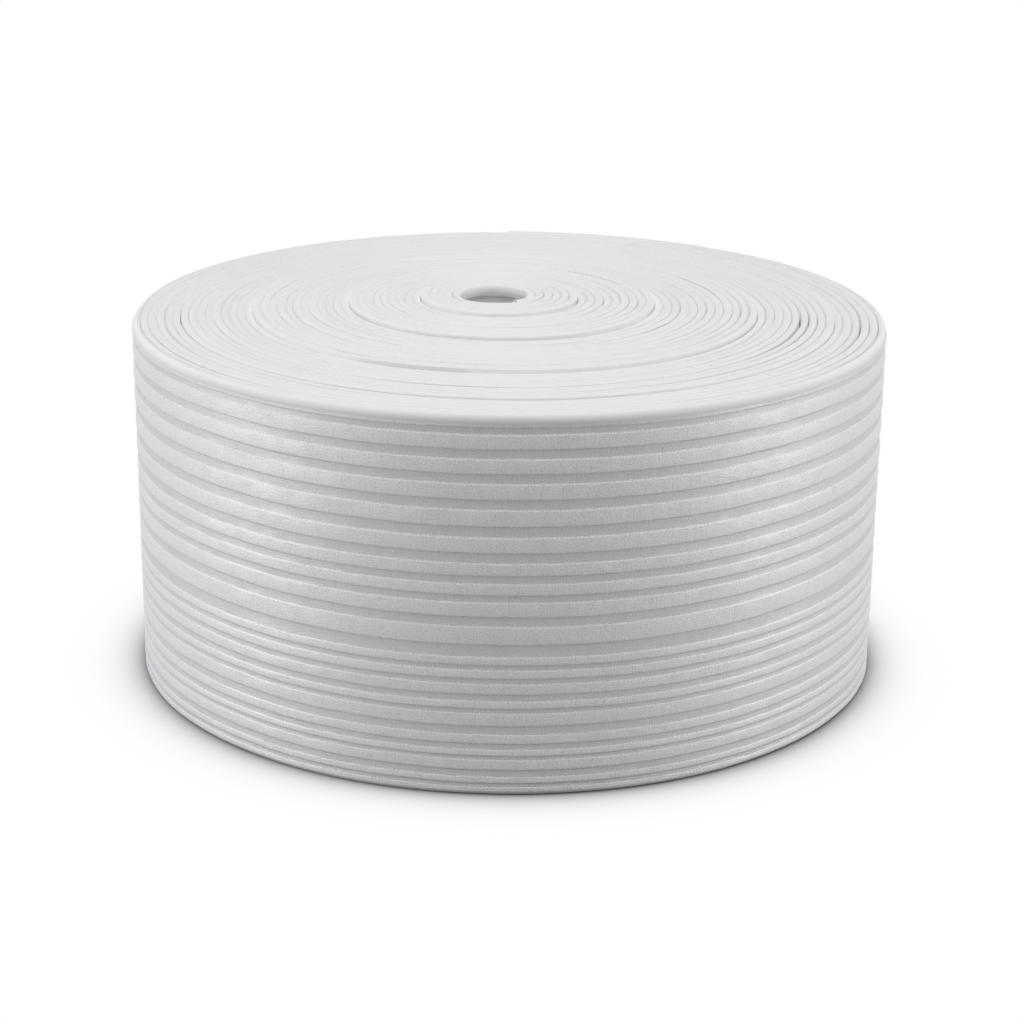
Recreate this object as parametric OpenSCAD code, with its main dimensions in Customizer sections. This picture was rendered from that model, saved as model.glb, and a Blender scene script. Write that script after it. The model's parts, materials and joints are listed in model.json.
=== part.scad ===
// A roll of ribbed foam wrap that stands on its end. One long foam sheet is wound on itself from
// the hole outwards. Seen from above, the spiral widens counter-clockwise. The inner end of the
// sheet shows as a step in the hole, and its outer end lies against the back of the roll.
// The origin is the middle of the round outline, on the surface that the roll stands on.

/* [Sheet] */
// Width of the foam sheet, which is the height of the standing roll
sheet_width = 305; // [200:1:610]
// Thickness of the foam sheet
sheet_thickness = 6.4; // [5:0.1:10]
// Air that the ribs leave between two turns
turn_gap = 0.6; // [0.2:0.1:1.5]

/* [Roll] */
// Number of turns
turns = 42; // [24:1:60]
// Diameter of the hole that the winding shaft leaves
hole_d = 57; // [40:1:100]
// How far the turns wander sideways from the hole to the rim
hole_drift = 10.5; // [0:0.5:20]
// How far the innermost turn is pushed up out of the roll
telescope = 14; // [6:1:25]
// Outermost turns that stay level, which the roll rests on
level_turns = 3; // [2:1:6]

/* [Cut edges] */
// Rounding of the cut edges on the outermost turn
edge_round = 5; // [2:0.5:5]
// Depth of the groove where two turns meet
groove_depth = 1.6; // [1:0.1:2.5]
// Width of that groove at the cut edges
groove_width = 2.6; // [1.5:0.1:4]
// Half the gap outside a turn that was wound loosely
loose_gap = 2.4; // [1.5:0.1:3]
// Turns that were wound loosely, counted from the hole
loose_turns = [6, 17, 30];
// Direction in which the inner end of the sheet shows, in degrees from the right
inner_end_angle = -54; // [-70:1:-45]

/* [Ribs] */
// How far a rib stands out of the sheet
rib_depth = 1; // [0.5:0.1:1.5]
// Plain strip between the rounded edge and the nearest groove between ribs
rib_margin = 1; // [0.5:0.5:6]
// Pitch of the wide ribs in the upper part of the sheet
wide_pitch = 19; // [15:0.5:24]
// Number of wide ribs
wide_ribs = 9; // [2:1:9]
// Pitch of the close ribs that fill the rest of the sheet
close_pitch = 12; // [9:0.5:14]
// Part of the pitch that the groove above each rib takes
rib_groove_share = 0.45; // [0.3:0.05:0.6]

/* [Hidden] */
$fn = 96;

// Height that a cut passes a face by, so that no skin is left
overcut = 2;
// Depth that one step sinks into the next
step_overlap = 0.2;
// Least width of the flat strip beside the rounded cut edge
edge_flat = 0.5;
// Angle between the points of the rounded cut edge
round_step = 15;
// Angle over which the hole widens towards the inner end of the sheet
inner_end_arc = 80;

hole_r = hole_d / 2;
pitch = sheet_thickness + turn_gap;
// Places are kept to a thousandth of a millimetre, so that arcs and steps meet exactly
function snap(v) = round(v * 1000) / 1000;
half_drift = snap(hole_drift / turns / 2);
drift = 2 * half_drift;
half_growth = pitch / 2 + half_drift;
// The rounding leaves a flat strip on the edge of the outermost turn
rim_round = min(edge_round, pitch - groove_width / 2 - edge_flat);

// The spiral is made of half turns. The back half of turn n has the centre back_x(n) and the
// radius back_r(n), and the front half that follows it has front_x(n) and front_r(n).
function back_x(n) = drift * (n - turns);
function back_r(n) = hole_r + pitch * n;
function front_x(n) = back_x(n) + half_growth;
function front_r(n) = back_r(n) + half_growth;

// The last whole turn; the sheet ends a quarter turn after it
last = turns - 1;
right_reach = back_x(turns) + back_r(turns);
left_reach = back_r(turns - 1) - back_x(turns - 1);
back_reach = back_r(turns) + drift;
front_reach = front_r(turns - 1);
middle = [(right_reach - left_reach) / 2, (back_reach - front_reach) / 2];

// The inner turns stand out of the upper end, a little more each turn, and the underside is
// hollow by as much, because the sheet is equally wide all along
turn_lift = snap(telescope / (turns - level_turns));

function lift(n) = max(0, turns - level_turns - n) * turn_lift;
function has_gap(n) = len(search(n, loose_turns)) > 0;

// Grooves between the ribs, counted from the top; wide ribs come first
first_rib_z = sheet_width - rim_round - rib_margin;
close_rib_z = first_rib_z - wide_ribs * wide_pitch;
close_ribs = floor((close_rib_z - rim_round - rib_margin) / close_pitch);
function rib_top(n) = n < wide_ribs
    ? first_rib_z - n * wide_pitch
    : close_rib_z - (n - wide_ribs) * close_pitch;
function rib_groove(n) = rib_groove_share * (n < wide_ribs ? wide_pitch : close_pitch);

// Outline of the outermost turn from its lower edge to its upper edge, in steps at the ribs
function wall_outline(r) = concat(
    [for (a = [-90 : round_step : 0])
        [r - snap(rim_round * (1 - cos(a))), snap(rim_round * (1 + sin(a)))]],
    [for (n = [wide_ribs + close_ribs - 1 : -1 : 0]) each [
        [r, rib_top(n) - rib_groove(n) - rib_depth],
        [r - rib_depth, rib_top(n) - rib_groove(n)],
        [r - rib_depth, rib_top(n)],
        [r, rib_top(n)]]],
    [for (a = [0 : round_step : 90])
        [r - snap(rim_round * (1 - cos(a))), sheet_width - snap(rim_round * (1 - sin(a)))]]);

// Half of the roll out to radius r about x, with the outermost turn at its rim
module half_roll(x, r, start) {
    inner_r = r - pitch + groove_width / 2;
    translate([x, 0, 0])
        rotate([0, 0, start])
            rotate_extrude(angle = 180)
                polygon(concat([[0, 0]], wall_outline(r), [
                    [inner_r, sheet_width], [inner_r, sheet_width - groove_depth],
                    [0, sheet_width - groove_depth]]));
}

// The end of the sheet, a quarter turn that lies over the back half of the roll
module outer_end() {
    r = back_r(turns) + drift;
    inner_r = back_r(last) + groove_width / 2;
    root_r = back_r(last) - rim_round - overcut;
    translate([back_x(last), 0, 0])
        rotate_extrude(angle = 90)
            polygon(concat([[root_r, 0]], wall_outline(r), [
                [inner_r, sheet_width], [inner_r, sheet_width - groove_depth],
                [root_r, sheet_width - groove_depth]]));
}

// Flat step of one turn on the underside, out to radius r about x
module step(x, r, start, z) {
    translate([x, 0, z])
        rotate([0, 0, start])
            rotate_extrude(angle = 180)
                square([r, turn_lift + step_overlap]);
}

// Hollow of the underside; every turn lies a little deeper than the one outside it
module hollow() {
    for (n = [1 : turns - level_turns - 1]) {
        step(back_x(n), back_r(n), 0, lift(n) - turn_lift - step_overlap);
        step(front_x(n - 1), front_r(n - 1), 180, lift(n) - turn_lift - step_overlap);
    }
}

// Upper edge of turn n out to radius r about x, on a disc that carries the turns inside it
module turn_edge(x, r, start, sweep, n) {
    floor_z = turn_lift + step_overlap;
    outer_gap = has_gap(n) ? loose_gap : groove_width / 2;
    inner_r = n > 1 ? r - pitch + groove_width / 2 : hole_r / 2;
    outer_r = r - outer_gap;
    translate([x, 0, sheet_width + lift(n) - groove_depth - floor_z])
        rotate([0, 0, start])
            rotate_extrude(angle = sweep)
                polygon([[0, 0], [r, 0], [r, floor_z], [outer_r, floor_z],
                    [outer_r, floor_z + groove_depth], [inner_r, floor_z + groove_depth],
                    [inner_r, floor_z], [0, floor_z]]);
}

// Upper edges of all turns but the outermost
module upper_edges() {
    for (n = [1 : turns - 1]) {
        turn_edge(back_x(n), back_r(n), 0, n < turns - 1 ? 180 : 90, n);
        turn_edge(front_x(n - 1), front_r(n - 1), 180, 180, n);
    }
}

// The hole; before the inner end of the sheet it widens into the groove of the turn outside it
module hole() {
    height = sheet_width + telescope + 2 * overcut;
    translate([back_x(0), 0, -overcut])
        cylinder(h = height, r = hole_r);
    translate([front_x(0), 0, -overcut])
        rotate([0, 0, inner_end_angle - inner_end_arc])
            rotate_extrude(angle = inner_end_arc)
                square([front_r(0) + groove_width / 4, height]);
}

module foam_roll() {
    color("whitesmoke")
        translate([-middle.x, -middle.y, 0])
            difference() {
                union() {
                    half_roll(front_x(last), front_r(last), 180);
                    half_roll(back_x(last), back_r(last), 0);
                    outer_end();
                    upper_edges();
                }
                hollow();
                hole();
            }
}

foam_roll();
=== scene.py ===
import json
import math
import bpy
from mathutils import Matrix, Vector


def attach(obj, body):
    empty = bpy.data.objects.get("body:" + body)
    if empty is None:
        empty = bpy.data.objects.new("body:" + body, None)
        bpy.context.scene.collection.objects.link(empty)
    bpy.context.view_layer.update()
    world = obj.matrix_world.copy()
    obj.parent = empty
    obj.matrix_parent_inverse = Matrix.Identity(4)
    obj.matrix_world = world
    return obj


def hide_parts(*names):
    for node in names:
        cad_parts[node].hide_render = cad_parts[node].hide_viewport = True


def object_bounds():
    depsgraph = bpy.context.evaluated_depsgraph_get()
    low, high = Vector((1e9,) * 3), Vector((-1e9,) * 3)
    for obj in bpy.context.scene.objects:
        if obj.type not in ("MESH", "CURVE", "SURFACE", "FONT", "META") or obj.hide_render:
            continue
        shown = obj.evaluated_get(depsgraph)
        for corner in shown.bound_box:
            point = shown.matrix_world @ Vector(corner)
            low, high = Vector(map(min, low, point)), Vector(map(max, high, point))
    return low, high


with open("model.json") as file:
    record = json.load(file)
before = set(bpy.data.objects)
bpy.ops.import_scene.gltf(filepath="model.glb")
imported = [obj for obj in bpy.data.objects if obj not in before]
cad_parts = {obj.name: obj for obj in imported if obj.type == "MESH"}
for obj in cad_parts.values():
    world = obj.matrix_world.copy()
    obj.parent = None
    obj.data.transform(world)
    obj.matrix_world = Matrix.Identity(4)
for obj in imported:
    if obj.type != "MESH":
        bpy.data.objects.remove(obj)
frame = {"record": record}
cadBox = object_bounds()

print("roll of foam wrap: frame loaded")

# The hole and the sheet's width come from the mount that runs through the roll
holeMount = next(m for m in frame["record"]["mounts"] if m["name"] == "core_hole")
holeX, holeY = holeMount["pos_m"][:2]
holeRadius = holeMount["dims"]["r_mm"] / 1000
sheetWidth = holeMount["dims"]["length_mm"] / 1000
rollRadius = (cadBox[1].x - cadBox[0].x) / 2


# Node maths written as arithmetic
class amount:
    def __init__(self, tree, socket):
        self.tree = tree
        self.socket = socket

    def __add__(self, other):
        return maths(self.tree, "ADD", self, other)

    def __sub__(self, other):
        return maths(self.tree, "SUBTRACT", self, other)

    def __rsub__(self, other):
        return maths(self.tree, "SUBTRACT", other, self)

    def __mul__(self, other):
        return maths(self.tree, "MULTIPLY", self, other)

    def __truediv__(self, other):
        return maths(self.tree, "DIVIDE", self, other)

    def __rtruediv__(self, other):
        return maths(self.tree, "DIVIDE", other, self)

    def __neg__(self):
        return maths(self.tree, "MULTIPLY", self, -1.0)


def node(tree, kind, **settings):
    made = tree.nodes.new(kind)
    for name, value in settings.items():
        setattr(made, name, value)
    return made


def feed(tree, value, socket):
    if isinstance(value, amount):
        tree.links.new(value.socket, socket)
    else:
        socket.default_value = value


def maths(tree, operation, *values):
    made = node(tree, "ShaderNodeMath", operation=operation)
    for value, socket in zip(values, made.inputs):
        feed(tree, value, socket)
    return amount(tree, made.outputs[0])


def place(tree, x, y, z):
    made = node(tree, "ShaderNodeCombineXYZ")
    for value, socket in zip((x, y, z), made.inputs):
        feed(tree, value, socket)
    return amount(tree, made.outputs[0])


def parts(tree, vector):
    made = node(tree, "ShaderNodeSeparateXYZ")
    tree.links.new(vector, made.inputs[0])
    return [amount(tree, socket) for socket in made.outputs]


# Smooth noise between -1 and 1 along a line, or in space where the place is a vector
def waver(tree, where, dimensions, detail):
    made = node(tree, "ShaderNodeTexNoise", noise_dimensions=dimensions)
    feed(tree, where, made.inputs["W" if dimensions == "1D" else "Vector"])
    made.inputs["Scale"].default_value = 1.0
    made.inputs["Detail"].default_value = detail
    return (amount(tree, made.outputs[0]) - 0.5) * 2.0


# Noise along the winding: how often it swings in a turn, its detail and where it starts
def turnNoise(tree, turn, seed, grain):
    rate, detail, start = grain
    return waver(tree, turn * rate + seed + start, "1D", detail)


# Noise over a surface: how often it swings in a metre each way, its detail and its layer
def surfaceNoise(tree, along, up, grain):
    alongRate, upRate, detail, layer = grain
    return waver(tree, place(tree, along * alongRate, up * upRate, layer), "3D", detail)


# A soft hump of height 1 around the middle
def hump(tree, where, middle, halfLength):
    away = (where - middle) / halfLength
    rise = maths(tree, "MAXIMUM", 1.0 - away * away, 0.0)
    return rise * rise


# What kind of surface lies at a point of the sheet's outline
surfaceKinds = {"cut": -1.0, "rib": 0.0, "ledge": 1.0, "groove": 2.0}

# The sheet's outline: its ribs and its cut edges, in metres
sheetForm = {
    "ribTops": [0.0071, 0.0156, 0.0298, 0.0382, 0.0507, 0.0681, 0.0780, 0.0920, 0.1034,
                0.1140, 0.1387, 0.1580, 0.1728, 0.1891, 0.2096, 0.2311, 0.2513, 0.2706, 0.2894],
    "ribDepth": 0.0012,        # depth of the grooves between ribs at the top of the sheet
    "lowRibDepth": 0.0007,     # and at its bottom
    "ribSlope": 0.0004,        # how much less a rib stands out at its upper edge
    "grooveShare": 0.42,       # part of the pitch that the groove above a rib takes
    "topGroove": 0.0060,       # width of the groove above the highest rib
    # The points from a rib's upper edge to the end of the groove above it, from the bottom up:
    # 0 where they are measured from the groove's lower end and 1 from its upper end, their height
    # from there, the level that they lie at, how much deeper they lie, and what is there
    "ribPoints": [
        (0, -0.0008, "slope", 0.0, "rib"),
        (0, -0.0002, "slope", 0.0001, "ledge"),
        (0, 0.0001, "slope", 0.0004, "ledge"),
        (0, 0.0006, "groove", -0.0001, "ledge"),
        (0, 0.0011, "groove", 0.0, "groove"),
        (1, -0.0014, "groove", 0.0002, "groove"),
        (1, -0.0008, "groove", 0.0002, "groove"),
        (1, -0.0001, "groove", -0.0003, "rib"),
        (1, 0.0002, "face", 0.0001, "rib"),
        (1, 0.0012, "face", 0.0, "rib"),
    ],
    "outerRound": 0.0062,      # rounding of the outermost turn's cut edges, across the sheet
    "topRound": 0.0075,        # and down from its upper edge
    "bottomRound": 0.0040,     # and up from its lower edge
    "roundStep": 10,           # degrees from point to point of that rounding
    "edgeDrop": 0.0025,        # how far the other cut edges fall off towards the gaps
    "edgePower": 3.6,          # how flat they stay in their middle
    "edgePoints": 9,
    "sharpAngle": 62,          # degrees between two faces from which their edge stays sharp
}


# The cut edge: how far it lies inside the sheet's full width, at a place across the sheet
def edgeDrop(across, pitch, roundHeight):
    half = pitch / 2
    reach = (across - pitch + sheetForm["outerRound"]) / sheetForm["outerRound"]
    if roundHeight and reach > 0:
        return roundHeight * (1 - math.sqrt(max(0, 1 - reach ** 2)))
    if roundHeight and across > half:
        return 0.0
    return sheetForm["edgeDrop"] * abs((across - half) / half) ** sheetForm["edgePower"]


# Places across the cut edge, closer together where it rounds off
def edgePlaces(pitch, isOuter):
    count = sheetForm["edgePoints"]
    places = [pitch / 2 * (1 - math.cos(math.pi * n / (count - 1))) for n in range(count)]
    if not isOuter:
        return places
    radius = sheetForm["outerRound"]
    rounding = [math.radians(a) for a in range(0, 90 + 1, sheetForm["roundStep"])]
    flat = [p for p in places if p < pitch - radius]
    return flat + [pitch - radius + radius * math.sin(a) for a in rounding]


# Ribs of a face from the bottom up: depth below the face, height, and what is there
def ribbedFace():
    tops = sheetForm["ribTops"]
    lowDepth = sheetForm["lowRibDepth"]
    face = []
    for top, nextTop in zip(tops, tops[1:] + [None]):
        groove = sheetForm["grooveShare"] * (nextTop - top) if nextTop else sheetForm["topGroove"]
        depth = lowDepth + (sheetForm["ribDepth"] - lowDepth) * top / sheetWidth
        levels = {"face": 0.0, "slope": sheetForm["ribSlope"], "groove": depth}
        for end, up, level, deeper, kind in sheetForm["ribPoints"]:
            face.append((levels[level] + deeper, top + end * groove + up, surfaceKinds[kind]))
    return face


# Closed outline of the sheet, anticlockwise: across, up, and what kind of surface is there
def sheetOutline(name, pitch, ribbed):
    isOuter = ribbed == "outer"
    places = edgePlaces(pitch, isOuter)
    lowRound, highRound = (sheetForm["bottomRound"], sheetForm["topRound"]) if isOuter else (0, 0)
    lowest, highest = sheetForm["bottomRound"], sheetWidth - sheetForm["topRound"]
    ribs = [point for point in ribbedFace() if lowest < point[1] < highest]
    cut = surfaceKinds["cut"]
    points = [(p, edgeDrop(p, pitch, lowRound), cut) for p in places]
    if isOuter:
        points += [(pitch - depth, height, kind) for depth, height, kind in ribs]
    points += [(p, sheetWidth - edgeDrop(p, pitch, highRound), cut) for p in reversed(places)]
    if ribbed == "inner":
        points += reversed(ribs)
    mesh = bpy.data.meshes.new(name)
    mesh.from_pydata(points, [(n, (n + 1) % len(points)) for n in range(len(points))], [])
    return bpy.data.objects.new(name, mesh)


# The roll as it is wound; metres, degrees and turns, counted from the hole
winding = {
    "turns": 42,
    "spiralShift": 0.25,       # part of the pitch that the spiral is shifted to the right
    "holeDrift": 0.0105,       # sideways wander of the turns between the hole and the rim
    "telescope": 0.014,        # rise of the innermost turn
    "levelTurns": 3,           # outermost turns that carry the roll
    "innerEnd": -57,           # degrees from the right, where the inner end of the sheet shows
    "outerEnd": 90,            # where the outer end lies against the back
    "innerEndEase": 0.5,       # part of its narrowing that the spiral's free inner end leaves out
    # Steps along each stretch of the sheet
    "steps": {"innerTurn": 180, "woundTurns": 4700, "outerTurn": 455},
    "seed": 7.0,
    # Each grain below is read by turnNoise or surfaceNoise
    "airGap": 0.00008,         # least gap between two turns
    "gapWave": 0.0011,         # width to which that gap opens here and there
    "gapGain": 3.0,            # makes up for the squared noise, which is mostly far below 1
    "gapGrain": (4.3, 2.0, 0.0),
    # Loosely wound places: turn, half length in turns, extra gap
    "looseTurns": [
        (5.74, 0.30, 0.0013),
        (6.02, 0.10, 0.0009),
        (14.76, 0.26, 0.0016),
        (16.81, 0.05, 0.0012),
        (29.86, 0.13, 0.0009),
        (31.95, 0.09, 0.0017),
        (32.95, 0.16, 0.0009),
        (33.80, 0.16, 0.0008),
        (35.53, 0.10, 0.0010),
        (35.76, 0.20, 0.0007),
        (38.98, 0.09, 0.0010),
    ],
    # Places where the turns inside stand out further: turn and extra height
    "heightSteps": [
        (5.24, 0.0029),
        (14.26, 0.0034),
        (16.40, 0.0006),
        (26.24, 0.0032),
        (31.30, 0.0006),
        (35.26, 0.0013),
    ],
    "stepLength": 0.30,        # turns over which such a step fades in
    "heightWave": 0.0011,      # how unevenly the turns lie
    "heightGrain": (2.3, 2.0, 40.0),
    "edgeFill": 0.45,          # part by which the upper cut edge is fuller than its outline
    "edgeFillWave": 0.9,       # and how much that changes along the sheet
    "edgeGrain": (3.1, 2.0, 80.0),
    "sideWave": 0.0012,        # how far the turns wander from a true spiral
    "sideGrains": [(8.0, 8.0, 1.0, 0.0), (8.0, 8.0, 1.0, 6.0)],
    "skinWave": 0.0005,        # how far the sheet's outer face lies in and out
    "skinGrain": (9.0, 22.0, 2.0),
    "ribWave": 0.0007,         # how far the ribs run up and down
    "ribGrain": (13.0, 16.0, 2.0, 9.0),
    "ledgeRough": 0.00040,     # how rough the upper edges of the ribs are
    "ledgeGrains": [(420.0, 310.0, 1.0, 0.0), (390.0, 310.0, 1.0, 5.0)],
}


# The gap between the sheet and the turn inside it
def gapInside(tree, turn, seed):
    opening = maths(tree, "MAXIMUM", turnNoise(tree, turn, seed, winding["gapGrain"]), 0.0)
    gap = opening * opening * winding["gapWave"] * winding["gapGain"] + winding["airGap"]
    for middle, halfLength, extra in winding["looseTurns"]:
        gap = gap + hump(tree, turn, middle, halfLength) * extra
    return gap


# 1 before the middle and 0 after it
def stepDown(tree, where, middle):
    ramp = node(tree, "ShaderNodeMapRange", interpolation_type="SMOOTHSTEP")
    feed(tree, where, ramp.inputs["Value"])
    ramp.inputs["From Min"].default_value = middle - winding["stepLength"]
    ramp.inputs["From Max"].default_value = middle + winding["stepLength"]
    ramp.inputs["To Min"].default_value = 1.0
    ramp.inputs["To Max"].default_value = 0.0
    return amount(tree, ramp.outputs[0])


# The sheet's outline swept along a line; each point keeps its turn and its place on the outline
def sweptSheet(tree, given):
    line = node(tree, "GeometryNodeCurvePrimitiveLine")
    steps = node(tree, "GeometryNodeResampleCurve")
    tree.links.new(line.outputs["Curve"], steps.inputs["Curve"])
    feed(tree, given["Steps"], steps.inputs["Count"])
    along = amount(tree, node(tree, "GeometryNodeSplineParameter").outputs["Factor"])
    turnAlong = given["First Turn"] + (given["Last Turn"] - given["First Turn"]) * along
    keepTurn = node(tree, "GeometryNodeCaptureAttribute")
    keepTurn.capture_items.new("FLOAT", "Turn")
    tree.links.new(steps.outputs[0], keepTurn.inputs["Geometry"])
    feed(tree, turnAlong, keepTurn.inputs["Turn"])
    outline = node(tree, "GeometryNodeObjectInfo")
    feed(tree, given["Outline"], outline.inputs["Object"])
    rim = node(tree, "GeometryNodeMeshToCurve")
    tree.links.new(outline.outputs["Geometry"], rim.inputs[0])
    keepPlace = node(tree, "GeometryNodeCaptureAttribute")
    keepPlace.capture_items.new("VECTOR", "Place")
    tree.links.new(rim.outputs[0], keepPlace.inputs["Geometry"])
    tree.links.new(node(tree, "GeometryNodeInputPosition").outputs[0], keepPlace.inputs["Place"])
    sweep = node(tree, "GeometryNodeCurveToMesh")
    tree.links.new(keepTurn.outputs["Geometry"], sweep.inputs["Curve"])
    tree.links.new(keepPlace.outputs["Geometry"], sweep.inputs["Profile Curve"])
    sweep.inputs["Fill Caps"].default_value = True
    outwards = node(tree, "GeometryNodeFlipFaces")
    tree.links.new(sweep.outputs[0], outwards.inputs["Mesh"])
    return outwards.outputs[0], amount(tree, keepTurn.outputs["Turn"]), keepPlace.outputs["Place"]


# What the materials read is stored by name, and then each face gets its material
def finishedSheet(tree, given, geometry, kept, isCut):
    for name, kindOfData, value in kept:
        store = node(tree, "GeometryNodeStoreNamedAttribute", data_type=kindOfData, domain="POINT")
        store.inputs["Name"].default_value = name
        tree.links.new(geometry, store.inputs["Geometry"])
        feed(tree, value, store.inputs["Value"])
        geometry = store.outputs[0]
    real = node(tree, "GeometryNodeRealizeInstances")
    tree.links.new(geometry, real.inputs[0])
    skin = node(tree, "GeometryNodeSetMaterial")
    tree.links.new(real.outputs[0], skin.inputs["Geometry"])
    feed(tree, given["Skin"], skin.inputs["Material"])
    cut = node(tree, "GeometryNodeSetMaterial")
    tree.links.new(skin.outputs[0], cut.inputs["Geometry"])
    feed(tree, isCut, cut.inputs["Selection"])
    feed(tree, given["Cut Edge"], cut.inputs["Material"])
    tree.links.new(cut.outputs[0], node(tree, "NodeGroupOutput").inputs[0])


def windingTree():
    tree = bpy.data.node_groups.new("woundSheet", "GeometryNodeTree")
    tree.is_modifier = True
    sockets = [
        ("Outline", "Object"), ("Skin", "Material"), ("Cut Edge", "Material"), ("Steps", "Int"),
        ("First Turn", "Float"), ("Last Turn", "Float"), ("Pitch", "Float"), ("Hole Radius", "Float"),
        ("Sheet Width", "Float"), ("Hole X", "Float"), ("Hole Y", "Float"), ("Drift", "Float"),
        ("Turn Lift", "Float"), ("Level From", "Float"), ("Seed", "Float"), ("Edge Wave", "Float"),
    ]
    for name, kind in sockets:
        tree.interface.new_socket(name=name, in_out="INPUT", socket_type="NodeSocket" + kind)
    tree.interface.new_socket(name="Geometry", in_out="OUTPUT", socket_type="NodeSocketGeometry")
    given = {s.name: amount(tree, s) for s in node(tree, "NodeGroupInput").outputs if s.name}
    pitch, seed = given["Pitch"], given["Seed"]
    swept, turn, outlinePlace = sweptSheet(tree, given)

    # What lies at each point, and where it is on the unrolled sheet
    across, height, kind = parts(tree, outlinePlace)
    margin = 0.4               # less than half the distance between two kinds
    isLedge = maths(tree, "COMPARE", kind, surfaceKinds["ledge"], margin)
    isGroove = maths(tree, "COMPARE", kind, surfaceKinds["groove"], margin)
    isCut = maths(tree, "COMPARE", kind, surfaceKinds["cut"], margin)
    share = across / pitch
    upShare = height / given["Sheet Width"]
    isTop = isCut * maths(tree, "GREATER_THAN", upShare, 0.5)
    arc = (given["Hole Radius"] + pitch * turn * 0.5) * turn * math.tau
    skinWave = surfaceNoise(tree, arc, height, winding["skinGrain"] + (turn,)) * winding["skinWave"]
    ribWave = surfaceNoise(tree, arc, height, winding["ribGrain"]) * winding["ribWave"]
    ledgeOut, ledgeUp = (
        surfaceNoise(tree, arc, height, grain) * winding["ledgeRough"] for grain in winding["ledgeGrains"]
    )

    # How far it lies from the hole's axis; a gap is shared by the two turns beside it
    bound = given["Hole Radius"] + pitch * (turn - winding["spiralShift"])
    bound = bound - pitch * winding["innerEndEase"] * maths(tree, "MINIMUM", turn, 0.0)
    gaps = gapInside(tree, turn, seed) * (1.0 - share) - gapInside(tree, turn + 1.0, seed) * share
    radius = bound + across + gaps * 0.5 + skinWave * share * (1.0 - isCut) + ledgeOut * isLedge

    # How high it lies
    lift = given["Turn Lift"] * maths(tree, "MAXIMUM", given["Level From"] - turn, 0.0)
    for middle, extra in winding["heightSteps"]:
        lift = lift + stepDown(tree, turn, middle) * extra
    rise = turnNoise(tree, turn, seed, winding["heightGrain"]) * winding["heightWave"] * upShare
    fill = turnNoise(tree, turn, seed, winding["edgeGrain"]) * winding["edgeFillWave"]
    fill = (fill + winding["edgeFill"]) * given["Edge Wave"]
    up = height + lift + rise + ribWave * (1.0 - isCut) + ledgeUp * isLedge
    up = up + (given["Sheet Width"] - height) * isTop * fill

    # The wound place
    angle = turn * math.tau
    x = given["Hole X"] + given["Drift"] * turn + pitch * winding["spiralShift"]
    x = x + radius * maths(tree, "COSINE", angle)
    y = given["Hole Y"] + radius * maths(tree, "SINE", angle)
    sideX, sideY = (
        surfaceNoise(tree, x, y, grain) * winding["sideWave"] for grain in winding["sideGrains"]
    )
    move = node(tree, "GeometryNodeSetPosition")
    tree.links.new(swept, move.inputs["Geometry"])
    feed(tree, place(tree, x + sideX, y + sideY, up), move.inputs["Position"])
    kept = [
        ("sheetPlace", "FLOAT_VECTOR", place(tree, arc, height, 0.0)),
        # Mask for the painted highlight on the ribs' upper edges
        ("ledgeHighlightMask", "FLOAT", isLedge),
        # Mask for the painted shade in the grooves between the ribs
        ("grooveShadeMask", "FLOAT", isGroove),
    ]
    finishedSheet(tree, given, move.outputs[0], kept, isCut)
    return tree


# One stretch of the sheet as a plain closed mesh
def windStretch(name, tree, values):
    empty = bpy.data.meshes.new(name)
    piece = bpy.data.objects.new(name, empty)
    bpy.context.scene.collection.objects.link(piece)
    modifier = piece.modifiers.new("wind", "NODES")
    modifier.node_group = tree
    for item in tree.interface.items_tree:
        if item.item_type == "SOCKET" and item.in_out == "INPUT":
            modifier[item.identifier] = values[item.name]
    bpy.context.view_layer.update()
    wound = piece.evaluated_get(bpy.context.evaluated_depsgraph_get())
    mesh = bpy.data.meshes.new_from_object(wound)
    piece.modifiers.clear()
    piece.data = mesh
    mesh.name = name
    mesh.shade_smooth()
    mesh.set_sharp_from_angle(angle=math.radians(sheetForm["sharpAngle"]))
    bpy.data.meshes.remove(empty)
    print("roll of foam wrap:", name, len(mesh.vertices), "points")
    return piece


# The sheet's faces, in the hole and outside it
faceFinish = {
    "onSheet": True,
    "roughness": 0.50,
    "specular": 1.0,
    "ior": 1.8,
    "bump": 0.00022,           # height of the bumps in metres
    "dents": 1.2,              # weight of the soft dents in them
}
# The foam's surfaces; their tone runs from the shade to the color
finishes = {
    "foamSkin": {
        **faceFinish,
        # The shade is also the dark end that the painted shade in the grooves reaches
        "shade": (0.65, 0.645, 0.68, 1.0),
        "color": (0.925, 0.92, 0.95, 1.0),
    },
    # Lighter than the skin: painted light that brightens the shaded hole
    "foamInsidePaintedLight": {
        **faceFinish,
        "shade": (0.91, 0.91, 0.915, 1.0),
        "color": (0.95, 0.95, 0.955, 1.0),
    },
    "foamCutEdge": {
        "onSheet": False,
        "roughness": 0.60,
        "specular": 0.4,
        "ior": 1.45,
        "bump": 0.00014,
        "dents": 0.5,
        "shade": (0.85, 0.853, 0.865, 1.0),
        "color": (0.885, 0.888, 0.895, 1.0),
    },
}
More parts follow.
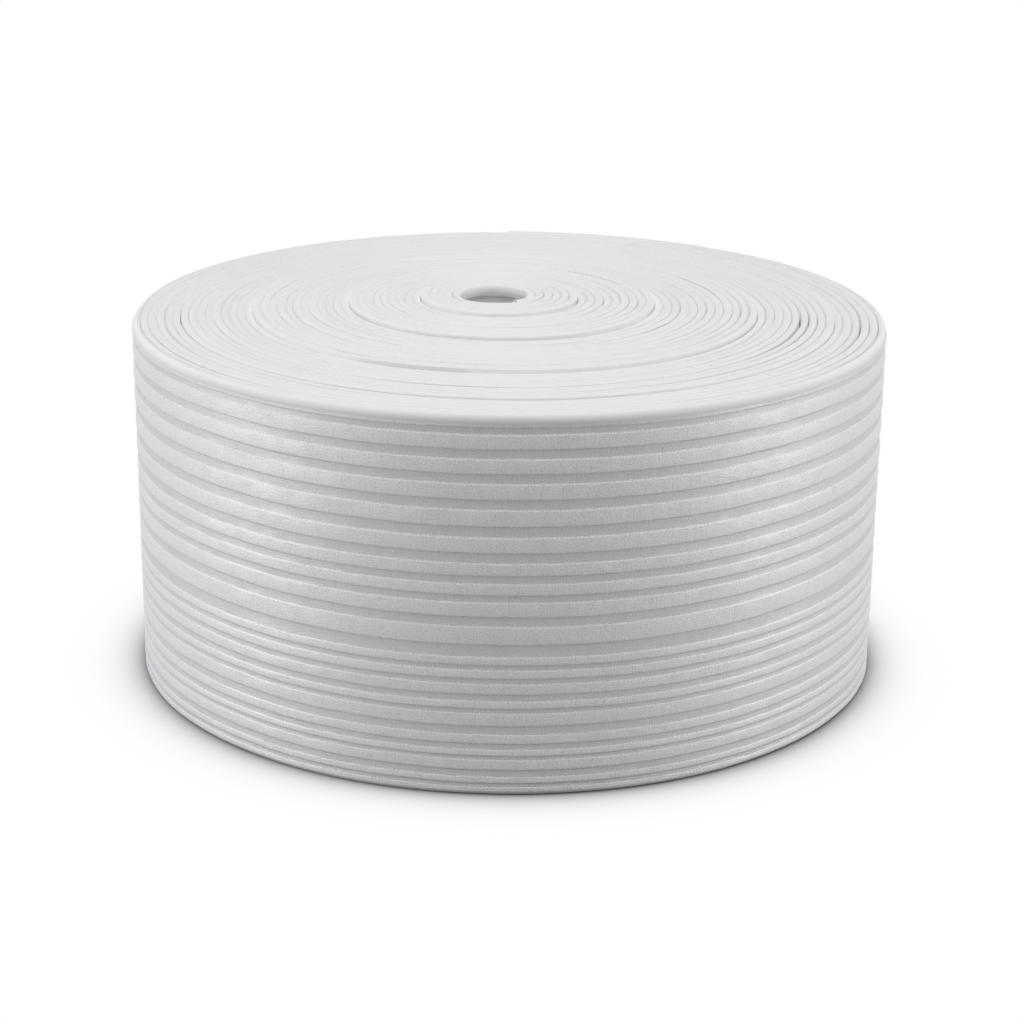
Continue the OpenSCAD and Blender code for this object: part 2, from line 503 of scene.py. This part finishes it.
# What makes up the bumps and the tone
foamGrain = {
    "cellSize": 0.0011,
    "cellHeight": 0.35,
    "dentsPerCell": 0.16,
    "dentDetail": 4.0,
    # Grains on the sheet, read by surfaceNoise
    "streaks": (520.0, 60.0, 2.0, 0.0),
    "creases": (130.0, 640.0, 2.0, 3.0),
    "sparks": (850.0, 850.0, 2.0, 7.0),
    "patches": (26.0, 85.0, 2.0, 2.0),
    # What each adds to the height of the bumps
    "streakHeight": 0.16,
    "creaseHeight": 0.42,
    "sparkHeight": 0.45,
    "patchHeight": 2.2,        # more for the sparks in a patch
    # And to the tone, with the painted highlight and glints on the ribs' upper edges and the painted
    # shade in the grooves
    "baseTone": 0.47,
    "dentTone": 0.4,
    "streakTone": 0.3,
    "sparkTone": 1.4,
    # Painted highlight on the ribs' upper edges, where light from above catches them
    "paintedLedgeHighlight": 0.2,
    "paintedLedgeGlints": 2.4,     # painted glints: more for the sparks on a rib's upper edge
    "paintedGrooveShade": 0.65,        # painted shade, taken off the tone in the grooves
}


# Fine closed cells and soft dents of polyethylene foam: their height and a mask
def cellGroup():
    tree = bpy.data.node_groups.new("foamCells", "ShaderNodeTree")
    sockets = [
        ("Vector", "INPUT", "Vector"), ("Cell Size", "INPUT", "Float"), ("Dents", "INPUT", "Float"),
        ("Height", "OUTPUT", "Float"), ("Mask", "OUTPUT", "Float"),
    ]
    for name, side, kind in sockets:
        tree.interface.new_socket(name=name, in_out=side, socket_type="NodeSocket" + kind)
    given = node(tree, "NodeGroupInput")
    perCell = 1.0 / amount(tree, given.outputs["Cell Size"])
    cells = node(tree, "ShaderNodeTexVoronoi", feature="SMOOTH_F1")
    tree.links.new(given.outputs["Vector"], cells.inputs["Vector"])
    feed(tree, perCell, cells.inputs["Scale"])
    dents = node(tree, "ShaderNodeTexNoise")
    dents.inputs["Detail"].default_value = foamGrain["dentDetail"]
    tree.links.new(given.outputs["Vector"], dents.inputs["Vector"])
    feed(tree, perCell * foamGrain["dentsPerCell"], dents.inputs["Scale"])
    mask = amount(tree, dents.outputs[0])
    height = amount(tree, cells.outputs["Distance"]) * foamGrain["cellHeight"]
    height = height + mask * amount(tree, given.outputs["Dents"])
    out = node(tree, "NodeGroupOutput")
    feed(tree, height, out.inputs["Height"])
    feed(tree, mask, out.inputs["Mask"])
    return tree


# What the winding stored on the sheet under a name
def stored(tree, name, output):
    return node(tree, "ShaderNodeAttribute", attribute_name=name).outputs[output]


# Streaks, creases and sparks of the sheet's skin on top of its cells, with a painted highlight and glints
# on the ribs' upper edges and painted shade in the grooves
def sheetGrainAndPaintedLight(tree, height, mask):
    along, up = parts(tree, stored(tree, "sheetPlace", "Vector"))[:2]
    ledge = amount(tree, stored(tree, "ledgeHighlightMask", "Fac"))
    groove = amount(tree, stored(tree, "grooveShadeMask", "Fac"))
    streaks = surfaceNoise(tree, along, up, foamGrain["streaks"])
    creases = surfaceNoise(tree, along, up, foamGrain["creases"])
    sparks = surfaceNoise(tree, along, up, foamGrain["sparks"])
    patches = maths(tree, "MAXIMUM", surfaceNoise(tree, along, up, foamGrain["patches"]), 0.0)
    height = height + streaks * foamGrain["streakHeight"] + creases * foamGrain["creaseHeight"]
    height = height + sparks * (patches * foamGrain["patchHeight"] + foamGrain["sparkHeight"])
    tone = mask * foamGrain["dentTone"] + foamGrain["baseTone"]
    tone = tone + streaks * foamGrain["streakTone"] + sparks * foamGrain["sparkTone"]
    # Painted highlight and glints on the ribs' upper edges
    tone = tone + ledge * (sparks * foamGrain["paintedLedgeGlints"] + foamGrain["paintedLedgeHighlight"])
    # Painted shade: the grooves are darkened in the tone
    return height, tone - groove * foamGrain["paintedGrooveShade"]


def foamMaterial(name, cells):
    finish = finishes[name]
    material = bpy.data.materials.new(name)
    material.use_nodes = True
    tree = material.node_tree
    surface = tree.nodes["Principled BSDF"]
    grain = node(tree, "ShaderNodeGroup", node_tree=cells)
    tree.links.new(node(tree, "ShaderNodeTexCoord").outputs["Object"], grain.inputs["Vector"])
    grain.inputs["Cell Size"].default_value = foamGrain["cellSize"]
    grain.inputs["Dents"].default_value = finish["dents"]
    height = amount(tree, grain.outputs["Height"])
    tone = amount(tree, grain.outputs["Mask"])
    if finish["onSheet"]:
        height, tone = sheetGrainAndPaintedLight(tree, height, tone)
    bump = node(tree, "ShaderNodeBump")
    bump.inputs["Strength"].default_value = 1.0
    bump.inputs["Distance"].default_value = finish["bump"]
    feed(tree, height, bump.inputs["Height"])
    tree.links.new(bump.outputs[0], surface.inputs["Normal"])
    # This node's colors have no names of their own: 6 and 7 go in, and 2 comes out
    mixed = node(tree, "ShaderNodeMix", data_type="RGBA")
    feed(tree, tone, mixed.inputs["Factor"])
    mixed.inputs[6].default_value = finish["shade"]
    mixed.inputs[7].default_value = finish["color"]
    tree.links.new(mixed.outputs[2], surface.inputs["Base Color"])
    surface.inputs["Roughness"].default_value = finish["roughness"]
    surface.inputs["Specular IOR Level"].default_value = finish["specular"]
    surface.inputs["IOR"].default_value = finish["ior"]
    return material


def addFoamRoll():
    turns = winding["turns"]
    fullTurn = 360
    pitch = (cadBox[1].x - holeX - holeRadius - winding["holeDrift"]) / turns
    innerEnd = winding["innerEnd"] / fullTurn
    lastTurn = turns - 1 + winding["outerEnd"] / fullTurn
    levelFrom = turns - winding["levelTurns"] - 0.5
    evenRise = winding["telescope"] - sum(extra for middle, extra in winding["heightSteps"])
    tree = windingTree()
    cells = cellGroup()
    materials = {name: foamMaterial(name, cells) for name in finishes}
    common = {
        "Cut Edge": materials["foamCutEdge"], "Pitch": pitch, "Hole Radius": holeRadius,
        "Sheet Width": sheetWidth, "Hole X": holeX, "Hole Y": holeY,
        "Drift": winding["holeDrift"] / turns, "Turn Lift": evenRise / levelFrom,
        "Level From": levelFrom, "Seed": winding["seed"],
    }
    # Name, ribbed face, first and last turn, material and share of the cut edge's unevenness
    stretches = [
        ("innerTurn", "inner", innerEnd, 1.0, "foamInsidePaintedLight", 1.0),
        ("woundTurns", "none", 1.0, lastTurn - 1, "foamSkin", 1.0),
        ("outerTurn", "outer", lastTurn - 1, lastTurn, "foamSkin", 0.0),
    ]
    for name, ribbed, firstTurn, endTurn, skin, edgeWave in stretches:
        outline = sheetOutline(name + "Outline", pitch, ribbed)
        own = {
            "Outline": outline, "First Turn": firstTurn, "Last Turn": endTurn,
            "Steps": winding["steps"][name], "Skin": materials[skin], "Edge Wave": edgeWave,
        }
        piece = windStretch(name, tree, {**common, **own})
        bpy.data.objects.remove(outline)
        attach(piece, "root")
        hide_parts("foam_roll")


studio = {
    "floorSize": 40.0,
    "floorColor": (0.18, 0.18, 0.185, 1.0),
    "floorRoughness": 0.9,
    "paintedShadowShare": 0.85,       # painted shadow: how much of the floor's own dark tone, with its real shadow, is seen right beside the roll
    "paintedShadowReach": 0.014,      # metres over which that painted shadow fades into white
    "ambient": 0.20,
    # Size, power in watts, degrees from the front, metres away and metres up
    "lamps": {
        "leftLamp": (0.8, 13.0, -70, 1.9, 0.36),
        "rightLamp": (0.8, 12.2, 75, 1.9, 0.36),
        "topLamp": (1.6, 30.0, 0, 0.28, 2.3),
    },
}


# 1 for rays in which the studio looks plain white, and 0 for those that only carry its light
def isSeen(tree):
    rays = node(tree, "ShaderNodeLightPath").outputs
    camera, glossy, through = (
        amount(tree, rays[name]) for name in ("Is Camera Ray", "Is Glossy Ray", "Is Transmission Ray")
    )
    return maths(tree, "MAXIMUM", maths(tree, "MAXIMUM", camera, glossy), through)


def addFloor():
    size = studio["floorSize"] / 2
    mesh = bpy.data.meshes.new("studioFloor")
    corners = [(-size, -size, 0), (size, -size, 0), (size, size, 0), (-size, size, 0)]
    mesh.from_pydata(corners, [], [(0, 1, 2, 3)])
    floor = bpy.data.objects.new("studioFloor", mesh)
    bpy.context.scene.collection.objects.link(floor)
    material = bpy.data.materials.new("studioFloor")
    material.use_nodes = True
    tree = material.node_tree
    surface = tree.nodes["Principled BSDF"]
    surface.inputs["Base Color"].default_value = studio["floorColor"]
    surface.inputs["Roughness"].default_value = studio["floorRoughness"]
    white = node(tree, "ShaderNodeEmission")
    x, y = parts(tree, node(tree, "ShaderNodeTexCoord").outputs["Object"])[:2]
    # Painted shadow: beside the roll the floor is seen in its own dark tone, with its real shadow, and
    # further away it turns white
    away = maths(tree, "SQRT", x * x + y * y) - rollRadius
    share = 1.0 - maths(tree, "EXPONENT", -(away / studio["paintedShadowReach"])) * studio["paintedShadowShare"]
    blend = node(tree, "ShaderNodeMixShader")
    feed(tree, share * isSeen(tree), blend.inputs[0])
    tree.links.new(surface.outputs[0], blend.inputs[1])
    tree.links.new(white.outputs[0], blend.inputs[2])
    tree.links.new(blend.outputs[0], tree.nodes["Material Output"].inputs["Surface"])
    mesh.materials.append(material)


def addLight():
    world = bpy.data.worlds.new("studioWorld")
    bpy.context.scene.world = world
    world.use_nodes = True
    tree = world.node_tree
    background = tree.nodes["Background"]
    strength = isSeen(tree) * (1.0 - studio["ambient"]) + studio["ambient"]
    feed(tree, strength, background.inputs["Strength"])
    background.inputs["Color"].default_value = (1.0, 1.0, 1.0, 1.0)
    aim = Vector((0, 0, sheetWidth / 2))
    for name, (size, power, azimuth, away, up) in studio["lamps"].items():
        lamp = bpy.data.lights.new(name, "AREA")
        lamp.shape = "SQUARE"
        lamp.size = size
        lamp.energy = power
        holder = bpy.data.objects.new(name, lamp)
        turned = math.radians(azimuth)
        holder.location = (away * math.sin(turned), -away * math.cos(turned), up)
        holder.rotation_euler = (aim - holder.location).to_track_quat("-Z", "Y").to_euler()
        bpy.context.scene.collection.objects.link(holder)


cameraView = {
    "lens": 84.72,             # millimetres, as is the sensor
    "sensor": 36.0,
    "distance": 6.281,         # in radii of the roll, like the next value
    "height": 2.517,
    "down": 18.774,            # degrees, like the next two values
    "roll": 0.591,
    "yaw": 0.101,
}


def addCamera():
    down, roll, yaw = (math.radians(cameraView[key]) for key in ("down", "roll", "yaw"))
    ahead = Vector((math.sin(yaw) * math.cos(down), math.cos(yaw) * math.cos(down), -math.sin(down)))
    right = ahead.cross(Vector((0, 0, 1))).normalized()
    above = right.cross(ahead)
    rightTurned = right * math.cos(roll) + above * math.sin(roll)
    aboveTurned = above * math.cos(roll) - right * math.sin(roll)
    data = bpy.data.cameras.new("photoCamera")
    data.lens = cameraView["lens"]
    data.sensor_width = cameraView["sensor"]
    camera = bpy.data.objects.new("photoCamera", data)
    axes = Matrix((rightTurned, aboveTurned, -ahead)).transposed().to_4x4()
    spot = Vector((0, -cameraView["distance"], cameraView["height"])) * rollRadius
    camera.matrix_world = Matrix.Translation(spot) @ axes
    bpy.context.scene.collection.objects.link(camera)
    bpy.context.scene.camera = camera


addCamera()
addFoamRoll()
print("roll of foam wrap: sheet wound")
addFloor()
addLight()
bpy.context.scene.view_settings.view_transform = "Standard"
print("roll of foam wrap: studio ready")
